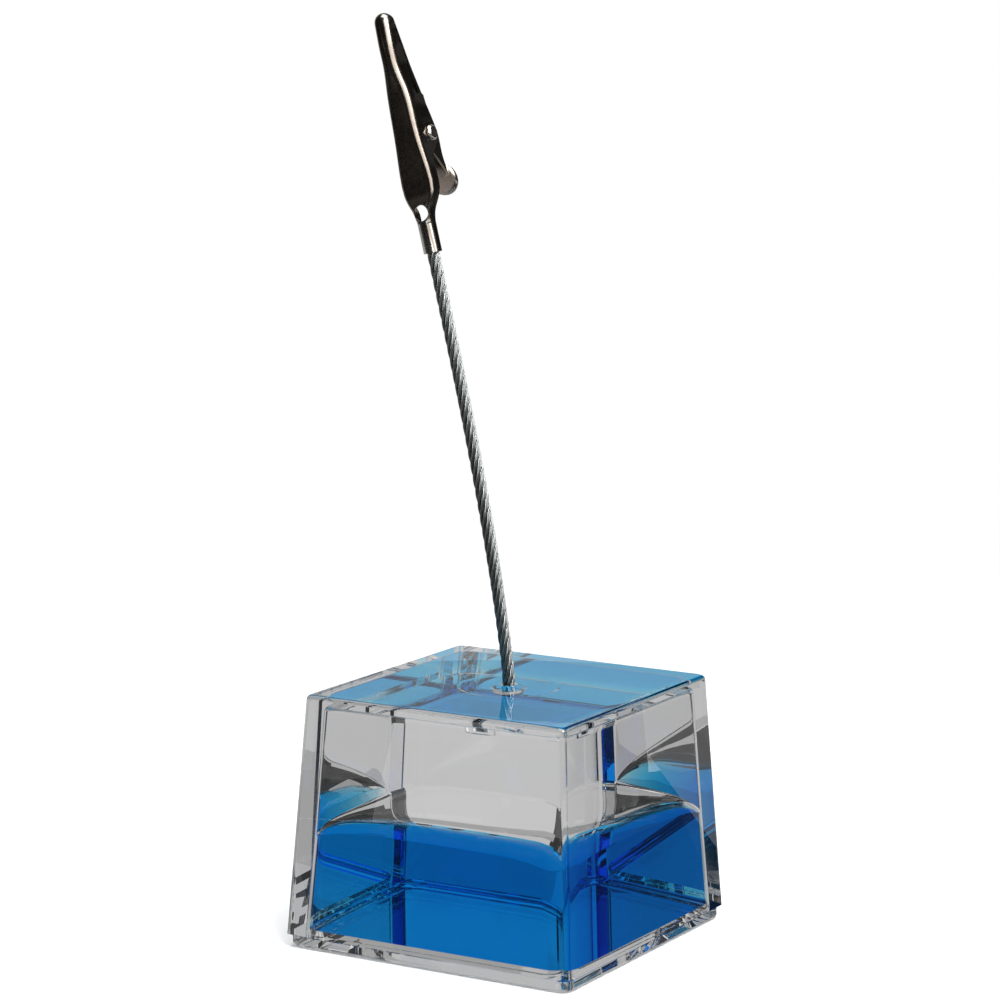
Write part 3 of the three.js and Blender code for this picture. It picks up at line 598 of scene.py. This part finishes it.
def smooth_by_angle(angle):
    """Node group that shades faces smooth, except over edges sharper than the angle."""
    group = bpy.data.node_groups.new("smooth_by_angle", "GeometryNodeTree")
    for way in ("INPUT", "OUTPUT"):
        group.interface.new_socket("Geometry", in_out=way, socket_type="NodeSocketGeometry")
    nodes, links = group.nodes, group.links
    bent = nodes.new("GeometryNodeInputMeshEdgeAngle")
    soft = nodes.new("FunctionNodeCompare")
    soft.operation = "LESS_THAN"
    soft.inputs["B"].default_value = math.radians(angle)
    links.new(bent.outputs["Unsigned Angle"], soft.inputs["A"])
    faces = nodes.new("GeometryNodeSetShadeSmooth")
    edges = nodes.new("GeometryNodeSetShadeSmooth")
    edges.domain = "EDGE"
    links.new(soft.outputs["Result"], edges.inputs["Shade Smooth"])
    links.new(nodes.new("NodeGroupInput").outputs[0], faces.inputs["Geometry"])
    links.new(faces.outputs[0], edges.inputs["Geometry"])
    links.new(edges.outputs[0], nodes.new("NodeGroupOutput").inputs[0])
    return group


def finish_solid(node, material, shading):
    """Gives a solid its finish, and rounds its edges."""
    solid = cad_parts[node]
    solid.data.materials.clear()
    solid.data.materials.append(material)
    weld = solid.modifiers.new("weld", "WELD")
    weld.merge_threshold = WELD
    edges = solid.modifiers.new("edges", "BEVEL")
    edges.limit_method = "ANGLE"
    edges.angle_limit = math.radians(CLIP_SHARP)
    edges.width = CLIP_EDGE
    edges.segments = CLIP_EDGE_STEPS
    solid.modifiers.new("shading", "NODES").node_group = shading
    solid.modifiers.new("weighted", "WEIGHTED_NORMAL").keep_sharp = True


def make_spring():
    """The torsion spring, a welded copy of its solid with the spring wire's finish."""
    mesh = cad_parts["jaw_spring"].data.copy()
    shape = bmesh.new()
    shape.from_mesh(mesh)
    bmesh.ops.remove_doubles(shape, verts=shape.verts, dist=WELD)
    shape.to_mesh(mesh)
    shape.free()
    mesh.materials.clear()
    mesh.materials.append(spring_steel)
    spring = bpy.data.objects.new("spring", mesh)
    scene.collection.objects.link(spring)
    smooth(spring, SPRING_SHARP)
    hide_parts("jaw_spring")
    points = points_of("jaw_spring")
    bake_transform(spring)
    return spring


clip_shading = smooth_by_angle(CLIP_SHARP)
for node, material in zip(CLIP_NODES, (black_nickel, lever_nickel, rivet_metal)):
    finish_solid(node, material, clip_shading)
spring = make_spring()


# Studio

# White paper under the object, which keeps its shadow near it and turns plain white further out
FLOOR_SIZE = 3.0
FLOOR_SIDES = 96
FLOOR_DROP = 0.3 * MM
FLOOR_WHITE = 0.8
FLOOR_GLOW = 0.2
FADE_START = 0.2
FADE_END = 0.45
AMBIENT = 0.4


def seen_rays(nodes, links):
    """1 for rays from the camera, and from gloss and glass that show the background too."""
    path = nodes.new("ShaderNodeLightPath")
    first = nodes.new("ShaderNodeMath")
    first.operation = "MAXIMUM"
    links.new(path.outputs["Is Camera Ray"], first.inputs[0])
    links.new(path.outputs["Is Glossy Ray"], first.inputs[1])
    both = nodes.new("ShaderNodeMath")
    both.operation = "MAXIMUM"
    links.new(first.outputs[0], both.inputs[0])
    links.new(path.outputs["Is Transmission Ray"], both.inputs[1])
    return both.outputs[0]


def make_floor():
    """The paper: lit near the object, and white where gloss, glass and the camera see it further out."""
    bpy.ops.mesh.primitive_circle_add(
        vertices=FLOOR_SIDES, radius=FLOOR_SIZE, fill_type="NGON", location=(0, 0, -FLOOR_DROP)
    )
    floor = bpy.context.object
    floor.name = "floor"
    material, nodes, links, shader = new_material("white_paper")
    nodes.remove(shader)
    paper = nodes.new("ShaderNodeBsdfDiffuse")
    paper.inputs["Color"].default_value = (FLOOR_WHITE, FLOOR_WHITE, FLOOR_WHITE, 1)
    glow = nodes.new("ShaderNodeEmission")
    seen = seen_rays(nodes, links)
    share = nodes.new("ShaderNodeMath")
    share.operation = "MULTIPLY"
    share.inputs[1].default_value = FLOOR_GLOW
    links.new(seen, share.inputs[0])
    links.new(share.outputs[0], glow.inputs["Strength"])
    lit = nodes.new("ShaderNodeAddShader")
    links.new(paper.outputs[0], lit.inputs[0])
    links.new(glow.outputs[0], lit.inputs[1])
    white = nodes.new("ShaderNodeEmission")
    links.new(seen, white.inputs["Strength"])
    coordinates = nodes.new("ShaderNodeTexCoord")
    distance = nodes.new("ShaderNodeVectorMath")
    distance.operation = "LENGTH"
    links.new(coordinates.outputs["Object"], distance.inputs[0])
    fade = nodes.new("ShaderNodeMapRange")
    fade.interpolation_type = "SMOOTHSTEP"
    fade.inputs["From Min"].default_value = FADE_START
    fade.inputs["From Max"].default_value = FADE_END
    links.new(distance.outputs["Value"], fade.inputs["Value"])
    mix = nodes.new("ShaderNodeMixShader")
    links.new(fade.outputs["Result"], mix.inputs["Fac"])
    links.new(lit.outputs[0], mix.inputs[1])
    links.new(white.outputs[0], mix.inputs[2])
    links.new(mix.outputs[0], nodes["Material Output"].inputs["Surface"])
    floor.data.materials.append(material)


# Stage that only gloss and glass show, as the cards and flags of a photographer's table.
# Sheets lie on the table: a dark one under all, pale ones round the block, and dark ones further out.
# Each has its inner and outer radius, layer, first and last azimuth, and grey.
TABLES = {
    "dark_table": (0, 0.19, 1, 0, 360, 0.03),
    "back_sheet": (0, 0.3, 2, 145, 300, 0.52),
    "side_sheet": (0.058, 0.078, 2, 141.5, 145, 0.52),
    "left_sheet": (0.045, 0.17, 2, -65, -36, 0.5),
    # Painted shadow: a greyer sheet behind the block stands in for the block's shadow on the table
    "painted_block_shadow": (0, 0.075, 3, 172, 300, 0.38),
    "front_sheet": (0.19, 0.34, 2, -30.5, -8, 1.0),
    "front_dark": (0.19, 0.6, 2, -60, -30.5, 0.05),
    "right_sheet": (0.3, 0.6, 2, 40, 165, 0.05),
}
# Screens stand round the block: a dark room with a lid, pale cards that the block shows, and dark flags.
# Each has its radius, lower and upper edge, first and last azimuth, and grey.
SCREENS = {
    "room": (0.6, 0.0, 0.9, 0, 360, 0.035),
    "card": (0.2, 0.0, 0.3, 190, 260, 0.55),
    "low_card": (0.1, 0.024, 0.036, 145, 180, 0.45),
    "near_card": (0.07, 0.0235, 0.0288, 150, 192, 0.45),
    "foot_card": (0.1, 0.036, 0.045, 164, 176, 0.45),
    "flag": (0.115, 0.0, 0.05, 65, 140, 0.03),
    "front_flag": (0.16, 0.0, 0.016, -8, 65, 0.03),
    "fill": (0.16, 0.016, 0.07, -8, 65, 0.3),
    "blue_fill": (0.155, 0.045, 0.08, 12, 45, 0.75),
    "left_fill": (0.1, 0.022, 0.037, -60, -36, 0.42),
    "high_fill": (0.4, 0.148, 0.172, -42, -20, 0.4),
    "top_card": (0.08, 0.0555, 0.068, 178, 238, 0.33),
    "upper_right": (0.1, 0.07, 0.11, 25, 90, 0.45),
    "upper_left": (0.1, 0.09, 0.12, 305, 325, 0.45),
}
SEEN_THROUGH_GLASS = ("upper_right", "upper_left")
# Painted light: a pale sheet under the block's foot stands in for the light that passes through the block
# onto the paper
UNDER_BLOCK_PAINTED_LIGHT = 0.75
UNDER_LAYER = 4
LAYER = 0.05 * MM
ARC_STEPS = 48

# Lamps: azimuth, elevation, width, height and watts
LAMP_AIM = 80 * MM
LAMP_DISTANCE = 0.5
LAMPS = {
    "key": (60, 48, 0.25, 0.3, 3.5),
    "top": (0, 88, 0.4, 0.4, 2.5),
}
GLOSS_LAMPS = {
    "gloss_rope": (57, 30, 0.62, 0.36, 5.2),
    "gloss_clip": (52, 30, 0.51, 0.36, 2.6),
}


def out_from(azimuth, elevation=0):
    """Direction from the object: azimuth 0 is the -Y side and 90 the +X side."""
    a, e = math.radians(azimuth), math.radians(elevation)
    return Vector((math.sin(a) * math.cos(e), -math.cos(a) * math.cos(e), math.sin(e)))


def make_sheet(name, points, faces, grey):
    """Part of the stage with an even tone, which only gloss and glass show, or glass alone."""
    mesh = bpy.data.meshes.new(name)
    mesh.from_pydata(points, [], faces)
    material, nodes, links, shader = new_material(name)
    nodes.remove(shader)
    tone = nodes.new("ShaderNodeEmission")
    tone.inputs["Strength"].default_value = grey
    links.new(tone.outputs[0], nodes["Material Output"].inputs["Surface"])
    mesh.materials.append(material)
    sheet = bpy.data.objects.new(name, mesh)
    scene.collection.objects.link(sheet)
    for rays in ("camera", "diffuse", "shadow", "volume_scatter"):
        setattr(sheet, f"visible_{rays}", False)
    sheet.visible_glossy = name not in SEEN_THROUGH_GLASS


def arc(radius, first, last, z):
    ways = (out_from(first + (last - first) * i / ARC_STEPS) * radius for i in range(ARC_STEPS + 1))
    return [(way.x, way.y, z) for way in ways]


def make_band(name, lower, upper, grey):
    """A sheet between two arcs."""
    count = len(lower)
    make_sheet(name, lower + upper, [(i, i + 1, i + 1 + count, i + count) for i in range(count - 1)], grey)


def make_table(name, inner, outer, layer, first, last, grey):
    """A sheet that lies on the table, on its own layer."""
    z = layer * LAYER - FLOOR_DROP
    make_band(name, arc(inner, first, last, z), arc(outer, first, last, z), grey)


def make_screen(name, radius, low, high, first, last, grey):
    """A screen that stands round part of the stage, with a lid if it goes all round."""
    make_band(name, arc(radius, first, last, low), arc(radius, first, last, high), grey)
    if last - first == 360:
        make_band(f"{name}_lid", arc(0, first, last, high), arc(radius, first, last, high), grey)


def make_world():
    """White for all that shows the background, and a soft light from all round."""
    world = bpy.data.worlds.new("studio")
    scene.world = world
    world.use_nodes = True
    nodes, links = world.node_tree.nodes, world.node_tree.links
    ambient = nodes["Background"]
    ambient.inputs["Color"].default_value = (1, 1, 1, 1)
    ambient.inputs["Strength"].default_value = AMBIENT
    white = nodes.new("ShaderNodeBackground")
    white.inputs["Color"].default_value = (1, 1, 1, 1)
    white.inputs["Strength"].default_value = 1.0
    mix = nodes.new("ShaderNodeMixShader")
    links.new(seen_rays(nodes, links), mix.inputs["Fac"])
    links.new(ambient.outputs[0], mix.inputs[1])
    links.new(white.outputs[0], mix.inputs[2])
    links.new(mix.outputs[0], nodes["World Output"].inputs["Surface"])


def softbox(name, azimuth, elevation, width, height, watts, unseen, lights_only=None):
    """An area light that faces the object and lights all of it, or lights_only. The unseen rays miss it."""
    light = bpy.data.lights.new(name, "AREA")
    light.shape = "RECTANGLE"
    light.size = width
    light.size_y = height
    light.energy = watts
    lamp = bpy.data.objects.new(name, light)
    out = out_from(azimuth, elevation)
    lamp.location = Vector((0, 0, LAMP_AIM)) + LAMP_DISTANCE * out
    lamp.rotation_mode = "QUATERNION"
    lamp.rotation_quaternion = (-out).to_track_quat("-Z", "Y")
    scene.collection.objects.link(lamp)
    for rays in unseen:
        setattr(lamp, f"visible_{rays}", False)
    if lights_only:
        lit = bpy.data.collections.new(f"lit_by_{name}")
        for piece in lights_only:
            lit.objects.link(piece)
        lamp.light_linking.receiver_collection = lit


def make_camera():
    """The photograph's camera, which looks level with its aim from its azimuth and elevation."""
    a, e = CAMERA_AZIMUTH, CAMERA_ELEVATION
    back = Vector((math.sin(a) * math.cos(e), -math.cos(a) * math.cos(e), math.sin(e)))
    right = Vector((math.cos(a), math.sin(a), 0))
    up = back.cross(right)
    data = bpy.data.cameras.new("camera")
    data.lens = FOCAL_PIXELS * SENSOR / IMAGE_PIXELS
    data.sensor_width = SENSOR
    camera = bpy.data.objects.new("camera", data)
    scene.collection.objects.link(camera)
    place = CAMERA_AIM_RIGHT * right + Vector((0, 0, CAMERA_AIM_UP)) + CAMERA_DISTANCE * back
    axes = Matrix((right, up, back)).transposed()
    turned = axes @ Matrix.Rotation(CAMERA_ROLL, 3, "Z")
    camera.matrix_world = Matrix.Translation(place) @ turned.to_4x4()
    scene.camera = camera


make_floor()
for name, values in TABLES.items():
    make_table(name, *values)
# Painted pool of light under the block's foot
foot_z = UNDER_LAYER * LAYER - FLOOR_DROP
foot = [(x * FOOT_HALF, y * FOOT_HALF, foot_z) for x, y in ((-1, -1), (1, -1), (1, 1), (-1, 1))]
make_sheet("painted_light_under_block", foot, [(0, 1, 2, 3)], UNDER_BLOCK_PAINTED_LIGHT)
for name, values in SCREENS.items():
    make_screen(name, *values)
make_world()
for name, values in LAMPS.items():
    softbox(name, *values, unseen=("transmission",))
clip_pieces = [spring, *(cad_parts[name] for name in CLIP_NODES)]
for (name, values), pieces in zip(GLOSS_LAMPS.items(), ([rope], clip_pieces)):
    softbox(name, *values, unseen=("diffuse", "transmission"), lights_only=pieces)
make_camera()

scene.view_settings.view_transform = "Standard"
scene.cycles.max_bounces = 32
scene.cycles.transmission_bounces = 32
scene.cycles.glossy_bounces = 24
scene.cycles.transparent_max_bounces = 32
